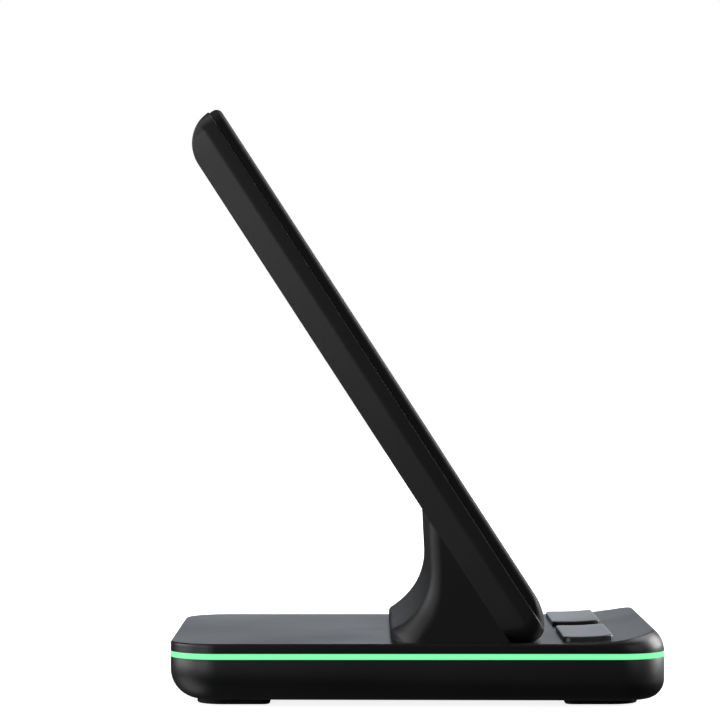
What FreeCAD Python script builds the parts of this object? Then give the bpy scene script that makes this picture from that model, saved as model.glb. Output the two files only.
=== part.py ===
import FreeCAD, Part
import math
import os

# Wireless charging station: a flat base with a lit edge strip, a flared column and a leaning panel.
# Millimetres. +X is the front, +Y the left side, +Z up. The origin is on the table, mid base.

V = FreeCAD.Vector
UP = V(0, 0, 1)

# Fits
slip_fit = 0.15
screw_fit = 0.1
spare = 2.0
touching = 0.0001

# Base outline and heights
base_length = 110.0
base_width = 84.0
base_corner = 10.5
foot_proud = 1.25
ring_low = 10.65
ring_height = 1.35
base_top = 14.1
bottom_edge_radius = 5.5
shell_wall = 2.0
shell_floor = 1.8
cover_roof = 1.8
cover_edge_radius = 0.4

# Front lip of the base: the top sweeps up, then rolls over a nose
sweep_start_inset = 19.5
sweep_radius = 70.0
sweep_end_inset = 2.8
nose_bulge = 0.72

# Light ring and its lamps
ring_depth = 2.2
ring_flange = 1.0
ring_flange_height = 3.0
lamp_depth = 0.6
lamp_height = 0.8
lamp_length = 1.6
lamps_along = 4
lamps_across = 3
strip_thickness = 0.25
strip_height = 1.8

# Feet
foot_size = 16.4
foot_end_inset = 5.8
foot_side_inset = 7.8
foot_corner = 2.0
foot_outer_corner = 6.0
foot_edge_radius = 0.4
foot_seat = 0.6

# Screws that hold the base together, under the feet
base_screw_radius = 1.25
base_screw_head_radius = 2.6
base_screw_head_height = 1.6
base_screw_reach = 8.6
base_boss_radius = 4.0
base_boss_height = 3.0
cover_boss_radius = 3.2

# Rear inlet
port_height = 8.0
socket_width = 8.94
socket_height = 3.26
socket_length = 7.3
socket_wall = 0.3
socket_setback = 0.4
tongue_width = 6.7
tongue_height = 0.7
tongue_length = 5.0
inlet_flat = 0.35

# Main board
board_thickness = 1.2
board_width = 38.0
board_end_gap = 1.0
board_front_margin = 1.5
board_post_radius = 2.4
board_post_inset = 3.6
chip_size = 7.0
chip_height = 0.9
inductor_size = 6.0
inductor_height = 2.4
header_length = 5.0
header_width = 9.0
header_height = 3.0
board_corner = 2.0
rear_chip_inset = 18.0
front_chip_inset = 42.0
inductor_y = 11.0

# Base charging coil, under the flat rear of the cover
base_coil_inset = 27.0
base_coil_outer = 15.0
base_coil_inner = 7.0
base_coil_thickness = 1.0
base_ferrite_radius = 16.0
base_ferrite_thickness = 0.6
base_holder_size = 36.0
base_holder_corner = 5.0
base_holder_thickness = 1.0
holder_peg_inset = 3.4
holder_post_radius = 1.9
holder_peg_radius = 0.9
peg_head = 0.3

# Rest pads in front of the panel
pad_toe_gap = 3.8
pad_length = 11.1
pad_inner_y = 5.0
pad_side_inset = 5.7
pad_corner = 1.8
pad_proud = 1.1
pad_seat = 0.8
pad_edge_radius = 0.4

# Leaning panel, measured along its own slope and square to it
panel_lean = 33.0
panel_back_offset = 24.55
panel_thickness = 10.45
panel_top = 136.0
panel_half_width = 41.2
panel_corner = 10.5
panel_draft_depth = 5.2
panel_draft_inset = 1.4
panel_cover_thickness = 2.2
panel_edge_radius = 1.9
panel_crown_radius = 8.0
panel_crown_wall = 1.5
panel_toe_radius = 8.0
panel_toe_reach = 28.5
panel_wall = 1.8
panel_pocket_low = 4.0
parting_groove = 0.25
cover_lip_height = 1.4
cover_lip_wall = 1.1

# Front bay, its round charging puck and the strap slot below it
bay_top_margin = 6.0
bay_length = 53.0
bay_half_width = 22.5
bay_corner = 9.0
bay_depth = 5.5
bay_wall = 1.5
bay_draft = 0.8
puck_top_gap = 5.6
puck_radius = 15.5
puck_proud = 0.9
puck_wall = 1.2
puck_floor = 0.6
puck_face_thickness = 1.0
puck_face_dish = 0.45
puck_coil_inner = 6.0
puck_coil_thickness = 1.2
puck_ferrite_thickness = 0.6
puck_magnet_radius = 5.2
slot_half_width = 17.0
slot_length = 12.5
slot_corner = 4.5
slot_edge = 0.7
slot_collar_wall = 1.4

# Panel charging coil
panel_coil_margin = 3.0
panel_coil_inner = 10.0
panel_coil_thickness = 1.4
panel_coil_gap = 0.3
panel_ferrite_margin = 2.0
panel_ferrite_thickness = 0.8
panel_holder_gap = 4.0
panel_holder_corner = 7.0
panel_holder_thickness = 1.2

# Panel board and the wiring through the column
panel_board_centre = 12.0
panel_board_width = 34.0
panel_board_length = 11.0
panel_board_thickness = 1.0
plug_length = 4.6
plug_width = 8.0
plug_height = 1.6
plug_gap = 0.4
harness_x = 8.0
harness_radius = 1.6
harness_bend = 7.0
harness_hole = 2.6

# Column
column_waist_run = 8.62
column_waist_rise = 16.4
column_lean = 2.8
column_sweep_radius = 14.6
column_rim_x = -5.9
column_edge_radius = 2.0
column_rim_corner = 7.0
column_wall = 2.2
column_boss_radius = 3.0
column_boss_height = 7.0
column_screw_rear_x = 5.5
column_screw_front_x = 13.5
column_screw_y = 27.0
column_screw_radius = 1.2
column_screw_reach = 7.0
screw_end_gap = 0.4
panel_screw_slope = 14.0
panel_screw_inner_y = 20.0
panel_screw_outer_y = 31.0
panel_screw_reach = 6.5
small_head_radius = 2.3
small_head_height = 1.3
drive_depth = 0.7
drive_radius = 0.75

# Heights and offsets that follow
ring_high = ring_low + ring_height
shell_inside = foot_proud + shell_floor
cover_underside = base_top - cover_roof
half_length = base_length / 2
half_width = base_width / 2
sweep_start = half_length - sweep_start_inset
sweep_end = half_length - sweep_end_inset
pad_rear = panel_toe_reach + pad_toe_gap
pad_outer_y = half_width - pad_side_inset
board_top = port_height - socket_height / 2
panel_front_offset = panel_back_offset + panel_thickness
parting_offset = panel_front_offset - panel_cover_thickness
panel_floor_offset = panel_back_offset + panel_wall
bay_floor_offset = panel_front_offset - bay_depth
bay_high = panel_top - bay_top_margin
bay_low = bay_high - bay_length
puck_centre = bay_high - puck_top_gap - puck_radius
lean_sin = math.sin(math.radians(panel_lean))
lean_cos = math.cos(math.radians(panel_lean))
panel_screw_ys = (-panel_screw_outer_y, -panel_screw_inner_y, panel_screw_inner_y, panel_screw_outer_y)
corner_signs = ((1, 1), (-1, 1), (-1, -1), (1, -1))


def corner_wire(low, high, radii, z):
    """Rectangle from low (x, y) to high (x, y) at height z, with a radius for each corner."""
    arcs = []
    for quarter, radius in enumerate(radii):
        side_x, side_y = corner_signs[quarter]
        corner_x = high[0] if side_x > 0 else low[0]
        corner_y = high[1] if side_y > 0 else low[1]
        centre = V(corner_x - side_x * radius, corner_y - side_y * radius, z)
        arcs.append(Part.makeCircle(radius, centre, UP, 90 * quarter, 90 * quarter + 90))
    edges = []
    for arc, after in zip(arcs, arcs[1:] + arcs[:1]):
        edges.append(arc)
        edges.append(Part.makeLine(arc.Vertexes[-1].Point, after.Vertexes[0].Point))
    return Part.Wire(edges)


def rounded_wire(low, high, corner, z):
    """Rectangle from low (x, y) to high (x, y) at height z, with one radius at all corners."""
    return corner_wire(low, high, [corner] * len(corner_signs), z)


def rounded_block(low, high, corner, bottom, top):
    """Upright block with a rounded rectangular outline."""
    return Part.Face(rounded_wire(low, high, corner, bottom)).extrude(UP * (top - bottom))


def drafted_block(low, high, corner, inset, bottom, top):
    """Block whose rounded outline is smaller by inset at the bottom, with sloping walls between."""
    small_low = (low[0] + inset, low[1] + inset)
    small_high = (high[0] - inset, high[1] - inset)
    small = rounded_wire(small_low, small_high, corner - inset, bottom)
    large = rounded_wire(low, high, corner, top)
    return Part.makeLoft([small, large], True, True)


def base_outline(inset, bottom, top):
    """The base's plan outline, drawn in by inset and raised between two heights."""
    low = (inset - half_length, inset - half_width)
    high = (half_length - inset, half_width - inset)
    return rounded_block(low, high, base_corner - inset, bottom, top)


def disc(radius, centre, thickness):
    """Upright disc standing on the centre of its lower face."""
    return Part.makeCylinder(radius, thickness, centre)


def ring(outer, inner, centre, thickness):
    """Flat ring standing on the centre of its lower face."""
    return disc(outer, centre, thickness).cut(disc(inner, centre, thickness))


def screw(seat, shank_radius, reach, head_radius, head_height):
    """Pan-head screw pointing up: its head hangs below the seat, with a square drive in its face."""
    head = disc(head_radius, seat - UP * head_height, head_height)
    shank = disc(shank_radius, seat, reach)
    drive_low = seat - V(drive_radius, drive_radius, head_height)
    drive = Part.makeBox(2 * drive_radius, 2 * drive_radius, drive_depth, drive_low)
    return head.fuse(shank).cut(drive)


def mirrored_places(x, y):
    """The four places that mirror (x, y) across both middle planes."""
    return [V(sx * x, sy * y, 0) for sx in (-1, 1) for sy in (-1, 1)]


def profile_face(points_and_arcs):
    """Closed flat face from a list of points, where a triple is an arc's start, middle and end."""
    edges = []
    last = None
    first = None
    for item in points_and_arcs:
        start = item[0] if isinstance(item, tuple) else item
        first = first or start
        if last is not None and last.distanceToPoint(start) > touching:
            edges.append(Part.makeLine(last, start))
        if isinstance(item, tuple):
            edges.append(Part.Arc(*item).toShape())
            last = item[2]
        else:
            last = start
    edges.append(Part.makeLine(last, first))
    return Part.Face(Part.Wire(edges))


# Slope frame of the panel: its x runs across, its y up the slope, its z square out of the front
up_slope = V(-lean_sin, 0, lean_cos)
out_of_slope = V(lean_cos, 0, lean_sin)
slope = FreeCAD.Placement(V(0, 0, 0), FreeCAD.Rotation(V(0, 1, 0), up_slope, out_of_slope))


def on_slope(shape):
    """A shape drawn in the panel's slope frame, set in place."""
    return shape.transformed(slope.toMatrix())


def to_slope(x, z):
    """Height up the slope and offset square to it of a point in the side view."""
    return V(0, z * lean_cos - x * lean_sin, x * lean_cos + z * lean_sin)


# Panel envelope: the side view with its rolled toe, crossed with the drafted front outline
toe_x = panel_toe_reach - panel_toe_radius
toe_offset = panel_front_offset - panel_toe_radius
toe_slope = (toe_offset * lean_cos - toe_x) / lean_sin
toe_z = toe_slope * lean_cos + toe_offset * lean_sin
toe_end_x = toe_x + math.sqrt(panel_toe_radius ** 2 - (toe_z - base_top) ** 2)
heel_slope = (base_top - panel_back_offset * lean_sin) / lean_cos
crown_slope = panel_top - panel_crown_radius
crown_offset = panel_back_offset + panel_crown_radius
crown_mid = panel_crown_radius * math.sqrt(0.5)


def panel_envelope():
    """Whole outside of the panel in its slope frame, both shells together."""
    toe_arc = (
        V(0, toe_slope, panel_front_offset),
        to_slope(panel_toe_reach, toe_z),
        to_slope(toe_end_x, base_top),
    )
    crown_arc = (
        V(0, crown_slope, panel_back_offset),
        V(0, crown_slope + crown_mid, crown_offset - crown_mid),
        V(0, panel_top, crown_offset),
    )
    side = profile_face([
        V(0, heel_slope, panel_back_offset),
        crown_arc,
        V(0, panel_top + spare, crown_offset),
        V(0, panel_top + spare, panel_front_offset),
        toe_arc,
    ])
    reach = panel_half_width + spare
    side.translate(V(-reach, 0, 0))
    side_view = side.extrude(V(2 * reach, 0, 0))
    low = (-panel_half_width, -panel_half_width)
    high = (panel_half_width, panel_top)
    back = panel_back_offset - spare
    draft_end = panel_back_offset + panel_draft_depth
    inset = panel_draft_inset * (panel_draft_depth + spare) / panel_draft_depth
    drafted = drafted_block(low, high, panel_corner, inset, back, draft_end)
    straight = rounded_block(low, high, panel_corner, draft_end, panel_front_offset + spare)
    whole = side_view.common(drafted.fuse(straight))
    rim = []
    for edge in whole.Edges:
        middle = edge.valueAt((edge.FirstParameter + edge.LastParameter) / 2)
        on_front = abs(middle.z - panel_front_offset) < touching
        if on_front and abs(middle.y - toe_slope) > touching:
            rim.append(edge)
    return whole.makeFillet(panel_edge_radius, rim)


def panel_outline(inset, bottom, top, low_end):
    """Straight block of the panel's front outline, drawn in by inset, from low_end up the slope."""
    low = (inset - panel_half_width, low_end)
    high = (panel_half_width - inset, panel_top - inset)
    return rounded_block(low, high, panel_corner - inset, bottom, top)


def slope_slab(bottom, top):
    """Everything between two offsets square to the panel."""
    reach = panel_top + spare
    return Part.makeBox(2 * reach, 2 * reach, top - bottom, V(-reach, -reach, bottom))


def grid_places(centre_y, half_x, half_y, z):
    """Four corners of a rectangle about (0, centre_y), at height z."""
    return [V(sx * half_x, centre_y + sy * half_y, z) for sx in (-1, 1) for sy in (-1, 1)]


# Panel stack, from the rear floor forward; the coil's holder fills the room between board and bay
holder_room_low = panel_board_centre + panel_board_length / 2
holder_room_high = bay_low - bay_wall
panel_coil_centre = (holder_room_low + holder_room_high) / 2
panel_holder_size = holder_room_high - holder_room_low - 2 * panel_holder_gap
panel_coil_outer = panel_holder_size / 2 - panel_coil_margin
panel_ferrite_radius = panel_holder_size / 2 - panel_ferrite_margin
draft_end_offset = panel_back_offset + panel_draft_depth
panel_coil_offset = parting_offset - panel_coil_gap - panel_coil_thickness
panel_ferrite_offset = panel_coil_offset - panel_ferrite_thickness
panel_holder_offset = panel_ferrite_offset - panel_holder_thickness
panel_peg_half = panel_holder_size / 2 - holder_peg_inset
panel_pegs = grid_places(panel_coil_centre, panel_peg_half, panel_peg_half, panel_floor_offset)
panel_board_offset = panel_floor_offset + plug_height + plug_gap
panel_board_post_half = panel_board_width / 2 - board_post_inset
panel_board_posts = []
for side in (-1, 1):
    panel_board_posts.append(V(side * panel_board_post_half, panel_board_centre, panel_floor_offset))
bay_back_offset = bay_floor_offset - bay_wall
slot_low = (-slot_half_width, bay_low + bay_draft + slot_edge)
slot_high = (slot_half_width, slot_low[1] + slot_length)
puck_base = V(0, puck_centre, panel_floor_offset)
puck_height = bay_floor_offset + puck_proud - panel_floor_offset


def panel_pocket():
    """Hollow of the rear shell: the drafted and crowned outside one wall in, up to the parting plane."""
    low = (panel_wall - panel_half_width, panel_pocket_low)
    high = (panel_half_width - panel_wall, panel_top - panel_wall)
    corner = panel_corner - panel_wall
    inset = panel_draft_inset * (draft_end_offset - panel_floor_offset) / panel_draft_depth
    drafted = drafted_block(low, high, corner, inset, panel_floor_offset, draft_end_offset)
    pocket = drafted.fuse(rounded_block(low, high, corner, draft_end_offset, parting_offset + spare))
    reach = panel_half_width
    rise = panel_crown_radius + spare
    beyond = Part.makeBox(2 * reach, rise, rise, V(-reach, crown_slope, crown_offset - rise))
    inner_radius = panel_crown_radius - panel_crown_wall
    inner_crown = Part.makeCylinder(inner_radius, 2 * reach, V(-reach, crown_slope, crown_offset), V(1, 0, 0))
    return pocket.cut(beyond.cut(inner_crown))


def strap_slot(grow, bottom, top):
    """Rounded slot through the panel below the puck, grown by a wall where asked."""
    low = (slot_low[0] - grow, slot_low[1] - grow)
    high = (slot_high[0] + grow, slot_high[1] + grow)
    return rounded_block(low, high, slot_corner + grow, bottom, top)


def panel_rear_shell(envelope):
    """Rear moulding of the panel: drafted tray with posts, a slot collar and screw holes."""
    shell = envelope.common(slope_slab(panel_back_offset - spare, parting_offset)).cut(panel_pocket())
    groove_low = parting_offset - parting_groove
    outside = panel_outline(-spare, groove_low, parting_offset + spare, -panel_half_width)
    inside = panel_outline(parting_groove, groove_low, parting_offset + spare, -panel_half_width)
    shell = shell.cut(outside.cut(inside))
    additions = [strap_slot(slot_collar_wall, panel_floor_offset, bay_back_offset)]
    for place in panel_pegs:
        peg_end = panel_ferrite_offset + peg_head
        additions.append(disc(holder_post_radius, place, panel_holder_offset - panel_floor_offset))
        additions.append(disc(holder_peg_radius, place, peg_end - panel_floor_offset))
    for place in panel_board_posts:
        additions.append(disc(holder_post_radius, place, panel_board_offset - panel_floor_offset))
        peg_end = panel_board_offset + panel_board_thickness + peg_head
        additions.append(disc(holder_peg_radius, place, peg_end - panel_floor_offset))
    shell = shell.fuse(additions)
    cuts = [strap_slot(0, panel_back_offset - spare, parting_offset)]
    through = panel_wall + 2 * spare
    for across in panel_screw_ys:
        place = V(across, panel_screw_slope, panel_back_offset - spare)
        cuts.append(disc(column_screw_radius + screw_fit, place, through))
    cuts.append(disc(harness_hole, V(0, panel_board_centre, panel_back_offset - spare), through))
    return shell.cut(cuts).removeSplitter()


def bay_recess():
    """Drafted recess of the bay, carried past the front face."""
    grow = bay_draft * spare / bay_depth
    low = (-bay_half_width - grow, bay_low - grow)
    high = (bay_half_width + grow, bay_high + grow)
    top = panel_front_offset + spare
    return drafted_block(low, high, bay_corner, bay_draft + grow, bay_floor_offset, top)


def panel_front_cover(envelope):
    """Front moulding: rounded face plate with a locating lip and the recessed bay formed in it."""
    plate = envelope.common(slope_slab(parting_offset, panel_front_offset + spare))
    lip_low = parting_offset - cover_lip_height
    lip_inset = panel_wall + slip_fit
    lip_end = panel_pocket_low + slip_fit
    lip_outside = panel_outline(lip_inset, lip_low, parting_offset, lip_end)
    hollow_inset = lip_inset + cover_lip_wall
    lip_hollow = panel_outline(hollow_inset, lip_low, parting_offset, lip_end + cover_lip_wall)
    lip = lip_outside.cut(lip_hollow)
    dish_low = (-bay_half_width - bay_wall, bay_low - bay_wall)
    dish_high = (bay_half_width + bay_wall, bay_high + bay_wall)
    dish = rounded_block(dish_low, dish_high, bay_corner + bay_wall, bay_back_offset, parting_offset)
    cover = plate.fuse([lip, dish]).cut(bay_recess())
    puck_hole = disc(puck_radius + slip_fit, puck_base, panel_thickness)
    slot = strap_slot(0, panel_back_offset, bay_floor_offset + spare)
    return cover.cut([slot, puck_hole]).removeSplitter()


def holder_plate(low, high, corner, thickness, bottom, pegs):
    """Flat plate that carries a coil, with a hole for each peg."""
    plate = rounded_block(low, high, corner, bottom, bottom + thickness)
    holes = [disc(holder_peg_radius + screw_fit, V(peg.x, peg.y, bottom), thickness) for peg in pegs]
    return plate.cut(holes)


def panel_coil_parts():
    """Coil, ferrite sheet and holder plate behind the lower part of the front cover."""
    centre = V(0, panel_coil_centre, 0)
    half = panel_holder_size / 2
    low = (-half, panel_coil_centre - half)
    high = (half, panel_coil_centre + half)
    coil = ring(panel_coil_outer, panel_coil_inner, centre + UP * panel_coil_offset, panel_coil_thickness)
    ferrite = disc(panel_ferrite_radius, centre + UP * panel_ferrite_offset, panel_ferrite_thickness)
    thickness = panel_holder_thickness
    holder = holder_plate(low, high, panel_holder_corner, thickness, panel_holder_offset, panel_pegs)
    return coil, ferrite, holder


def panel_board():
    """Small board above the column, with the plug that takes the wiring on its back."""
    half = panel_board_width / 2
    low_edge = panel_board_centre - panel_board_length / 2
    board_low = V(-half, low_edge, panel_board_offset)
    board = Part.makeBox(panel_board_width, panel_board_length, panel_board_thickness, board_low)
    holes = []
    for post in panel_board_posts:
        hole_low = V(post.x, post.y, panel_board_offset)
        holes.append(disc(holder_peg_radius + screw_fit, hole_low, panel_board_thickness))
    plug_low = V(-plug_width / 2, panel_board_centre - plug_length / 2, panel_board_offset - plug_height)
    plug = Part.makeBox(plug_width, plug_length, plug_height, plug_low)
    board_face = panel_board_offset + panel_board_thickness
    chip_low = V(-chip_size / 2, panel_board_centre - chip_size / 2, board_face)
    chip = Part.makeBox(chip_size, chip_size, chip_height, chip_low)
    return board.cut(holes).fuse([plug, chip])


def puck_parts():
    """Round charging puck: cup, ferrite, coil, magnet and a dished face, stacked from the rear floor."""
    inside = puck_radius - puck_wall
    ferrite_base = puck_base + UP * puck_floor
    cup = disc(inside, ferrite_base, puck_height - puck_floor)
    housing = disc(puck_radius, puck_base, puck_height).cut(cup)
    ferrite = disc(inside - screw_fit, ferrite_base, puck_ferrite_thickness)
    coil_base = ferrite_base + UP * puck_ferrite_thickness
    coil = ring(inside - screw_fit, puck_coil_inner, coil_base, puck_coil_thickness)
    face_base = puck_base + UP * (puck_height - puck_face_thickness)
    magnet = disc(puck_magnet_radius, coil_base, face_base.z - coil_base.z)
    face_radius = inside - screw_fit
    dish_radius = (face_radius ** 2 + puck_face_dish ** 2) / (2 * puck_face_dish)
    dish_centre = face_base + UP * (puck_face_thickness - puck_face_dish + dish_radius)
    face = disc(face_radius, face_base, puck_face_thickness).cut(Part.makeSphere(dish_radius, dish_centre))
    return {
        "puck_housing": housing,
        "puck_ferrite": ferrite,
        "puck_coil": coil,
        "puck_magnet": magnet,
        "puck_face": face,
    }


def panel_screws():
    """Four screws from inside the panel into the column's sloping face."""
    group = []
    origin = V(0, 0, 0)
    reach = panel_screw_reach
    for across in panel_screw_ys:
        piece = screw(origin, column_screw_radius, reach, small_head_radius, small_head_height)
        piece.rotate(origin, V(1, 0, 0), 180)
        piece.translate(V(across, panel_screw_slope, panel_floor_offset))
        group.append(piece)
    return Part.makeCompound(group)


# Column: its back stands almost upright below the panel, then sweeps out to a low rim on the base
column_lean_sin = math.sin(math.radians(column_lean))
column_lean_cos = math.cos(math.radians(column_lean))
waist = V(column_rim_x + column_waist_run, 0, base_top + column_waist_rise)
waist_up = V(-column_lean_sin, 0, column_lean_cos)
waist_out = V(column_lean_cos, 0, column_lean_sin)
sweep_centre = waist - waist_out * column_sweep_radius
heel_x = panel_back_offset * lean_cos - heel_slope * lean_sin
column_half = panel_half_width - panel_draft_inset
column_screw_places = []
for screw_x in (column_screw_rear_x, column_screw_front_x):
    for side in (-1, 1):
        column_screw_places.append(V(screw_x, side * column_screw_y, base_top))


def sweep_arc(radius, end_x):
    """Arc about the sweep's centre in the side view, from the waist down to a given x."""
    start = sweep_centre + waist_out * radius
    run = end_x - sweep_centre.x
    end = V(end_x, 0, sweep_centre.z - math.sqrt(radius ** 2 - run ** 2))
    middle = (start + end) * 0.5 - sweep_centre
    return start, sweep_centre + middle.normalize() * radius, end


def up_to_slope(point, offset):
    """Where a line up the column's back from a point meets the plane at an offset in the slope frame."""
    short = offset - point.dot(out_of_slope)
    return point + waist_up * (short / waist_up.dot(out_of_slope))


def column_envelope():
    """Outside of the column: its side view, rounded in plan at the rim and along all its rear edges."""
    sweep = sweep_arc(column_sweep_radius, column_rim_x)
    tip = up_to_slope(waist, panel_back_offset)
    heel = V(heel_x, 0, base_top)
    side = profile_face([V(column_rim_x, 0, base_top), sweep[::-1], tip, heel])
    side.translate(V(0, -column_half, 0))
    column = side.extrude(V(0, 2 * column_half, 0))
    plan_high = (2 * half_length, column_half)
    plan = rounded_block((column_rim_x, -column_half), plan_high, column_rim_corner, base_top, base_length)
    column = column.common(plan)
    rear = []
    for edge in column.Edges:
        middle = edge.valueAt((edge.FirstParameter + edge.LastParameter) / 2)
        on_back = False
        if middle.z > waist.z:
            on_back = abs((middle - waist).dot(waist_out)) < touching
        elif middle.z > base_top + touching:
            from_centre = V(middle.x - sweep_centre.x, 0, middle.z - sweep_centre.z)
            on_back = abs(from_centre.Length - column_sweep_radius) < touching
        along = abs(middle.y) < touching and middle.x > column_rim_x + touching
        if on_back and not along:
            rear.append(edge)
    return column.makeFillet(column_edge_radius, rear)


def column():
    """Hollow column, open below, with bosses for the screws from the base and from the panel."""
    envelope = column_envelope()
    slope_inside = panel_back_offset - column_wall
    floor_z = base_top - spare
    sweep = sweep_arc(column_sweep_radius + column_wall, column_rim_x + column_wall)
    far_x = (slope_inside - floor_z * lean_sin) / lean_cos
    apex = up_to_slope(sweep[0], slope_inside)
    hollow = profile_face([V(sweep[2].x, 0, floor_z), sweep[::-1], apex, V(far_x, 0, floor_z)])
    half = column_half - column_wall
    hollow.translate(V(0, -half, 0))
    hollow = hollow.extrude(V(0, 2 * half, 0))
    corner = column_rim_corner - column_wall
    plan = rounded_block((sweep[2].x, -half), (2 * half_length, half), corner, floor_z, base_length)
    shell = envelope.cut(hollow.common(plan))
    bosses = []
    holes = []
    for place in column_screw_places:
        bosses.append(disc(column_boss_radius, place, column_boss_height))
        holes.append(disc(column_screw_radius + screw_fit, place, column_screw_reach))
    boss_low = panel_back_offset - panel_screw_reach
    for across in panel_screw_ys:
        place = V(across, panel_screw_slope, boss_low)
        bosses.append(on_slope(disc(column_boss_radius, place, panel_screw_reach)))
        holes.append(on_slope(disc(column_screw_radius + screw_fit, place, panel_screw_reach)))
    wire_place = V(0, panel_board_centre, slope_inside - spare)
    holes.append(on_slope(disc(harness_hole, wire_place, column_wall + 2 * spare)))
    solid_bosses = bosses[0].fuse(bosses[1:]).common(envelope)
    return shell.fuse(solid_bosses).cut(holes).removeSplitter()


def column_screws():
    """Four screws from under the base cover up into the column."""
    group = []
    for place in column_screw_places:
        seat = V(place.x, place.y, cover_underside)
        reach = cover_roof + column_screw_reach - screw_end_gap
        group.append(screw(seat, column_screw_radius, reach, small_head_radius, small_head_height))
    return Part.makeCompound(group)


def stand_harness():
    """Wire bundle from the main board's header up through the column to the panel board's plug."""
    turn_z = (panel_board_centre + harness_x * lean_sin) / lean_cos
    start = V(harness_x, 0, board_top + header_height)
    corner = V(harness_x, 0, turn_z)
    end = slope.multVec(V(0, panel_board_centre, panel_board_offset - plug_height))
    half_turn = math.radians(90 - panel_lean) / 2
    tangent = harness_bend * math.tan(half_turn)
    bend_start = corner - UP * tangent
    bend_end = corner + out_of_slope * tangent
    towards = (out_of_slope - UP).normalize()
    bend_middle = corner + towards * (harness_bend / math.cos(half_turn) - harness_bend)
    bend = Part.Arc(bend_start, bend_middle, bend_end).toShape()
    path = Part.Wire([Part.makeLine(start, bend_start), bend, Part.makeLine(bend_end, end)])
    section = Part.Wire(Part.makeCircle(harness_radius, start, UP))
    return path.makePipeShell([section], True, False)


# Base
foot_centre_x = half_length - foot_end_inset - foot_size / 2
foot_centre_y = half_width - foot_side_inset - foot_size / 2
foot_centres = mirrored_places(foot_centre_x, foot_centre_y)
screw_seat_z = foot_proud + foot_seat + base_screw_head_height + screw_fit
boss_top = shell_inside + base_boss_height
ring_middle = (ring_low + ring_high) / 2
flange_low = ring_middle - ring_flange_height / 2
flange_high = ring_middle + ring_flange_height / 2
flange_outer = ring_depth - ring_flange
board_low_x = shell_wall + board_end_gap - half_length
board_high_x = harness_x + header_length / 2 + board_front_margin
board_bottom = board_top - board_thickness
chip_xs = (board_low_x + rear_chip_inset, board_low_x + front_chip_inset)
board_post_xs = (board_low_x + socket_length + board_post_inset, board_high_x - board_post_inset)
board_posts = []
for post_x in board_post_xs:
    for side in (-1, 1):
        board_posts.append(V(post_x, side * (board_width / 2 - board_post_inset), 0))
base_coil_x = base_coil_inset - half_length
base_coil_low = cover_underside - base_coil_thickness
base_ferrite_low = base_coil_low - base_ferrite_thickness
base_holder_low = base_ferrite_low - base_holder_thickness
base_peg_half = base_holder_size / 2 - holder_peg_inset
base_pegs = []
for place in mirrored_places(base_peg_half, base_peg_half):
    base_pegs.append(place + V(base_coil_x, 0, 0))


def bottom_edges(shape):
    """Edges of a shape that lie in its lowest plane."""
    low = shape.BoundBox.ZMin
    return [edge for edge in shape.Edges if edge.BoundBox.ZMax < low + touching]


def foot_block(centre, grow, bottom, top):
    """Foot outline with a larger radius at the base's own corner, grown by grow."""
    half = foot_size / 2 + grow
    radii = []
    for side_x, side_y in corner_signs:
        outermost = side_x * centre.x > 0 and side_y * centre.y > 0
        radii.append(grow + (foot_outer_corner if outermost else foot_corner))
    low = (centre.x - half, centre.y - half)
    high = (centre.x + half, centre.y + half)
    return Part.Face(corner_wire(low, high, radii, bottom)).extrude(UP * (top - bottom))


def foot(centre):
    """Rubber foot, seated in its recess under the base."""
    block = foot_block(centre, 0, 0, foot_proud + foot_seat)
    return block.makeFillet(foot_edge_radius, bottom_edges(block))


def bottom_shell():
    """Lower moulding of the base: a tub with a rolled bottom edge, recesses, bosses and the inlet."""
    outside = base_outline(0, foot_proud, ring_low)
    outside = outside.makeFillet(bottom_edge_radius, bottom_edges(outside))
    inside = base_outline(shell_wall, shell_inside, ring_low + spare)
    inside = inside.makeFillet(bottom_edge_radius - shell_wall, bottom_edges(inside))
    rebate = base_outline(flange_outer - slip_fit, flange_low - slip_fit, ring_low + spare)
    shell = outside.cut([inside, rebate])
    additions = []
    cuts = []
    for centre in foot_centres:
        floor = V(centre.x, centre.y, foot_proud + foot_seat)
        additions.append(disc(base_boss_radius, floor, boss_top - floor.z))
        cuts.append(foot_block(centre, slip_fit, foot_proud - spare, floor.z))
        cuts.append(disc(base_screw_head_radius + slip_fit, floor, screw_seat_z - floor.z))
        cuts.append(disc(base_screw_radius + screw_fit, floor, boss_top - floor.z))
    for post in board_posts:
        foot_of_post = V(post.x, post.y, shell_inside)
        peg_top = board_top + peg_head
        additions.append(disc(board_post_radius, foot_of_post, board_bottom - shell_inside))
        additions.append(disc(holder_peg_radius, foot_of_post, peg_top - shell_inside))
    cuts.append(inlet_block(slip_fit, -half_length - spare, -half_length + shell_wall + spare))
    return shell.fuse(additions).cut(cuts).removeSplitter()


def inlet_block(grow, rear, front):
    """Stadium-shaped block along X at the inlet's height, grown by grow."""
    half_wide = socket_width / 2 + grow
    half_high = socket_height / 2 + grow
    low = (-half_high, -half_wide)
    high = (half_high, half_wide)
    block = rounded_block(low, high, half_high - inlet_flat, 0, front - rear)
    block.rotate(V(0, 0, 0), V(0, 1, 0), 90)
    block.translate(V(rear, 0, port_height))
    return block


def usb_c_socket():
    """Inlet socket: a thin drawn shell, closed at its inner end, around a tongue."""
    mouth = socket_setback - half_length
    back = mouth + socket_length
    end_wall = back - 2 * socket_wall
    shell = inlet_block(0, mouth, back).cut(inlet_block(-socket_wall, mouth - spare, end_wall))
    tongue_low = V(end_wall - tongue_length, -tongue_width / 2, port_height - tongue_height / 2)
    tongue = Part.makeBox(tongue_length + socket_wall, tongue_width, tongue_height, tongue_low)
    return shell.fuse(tongue)


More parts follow.
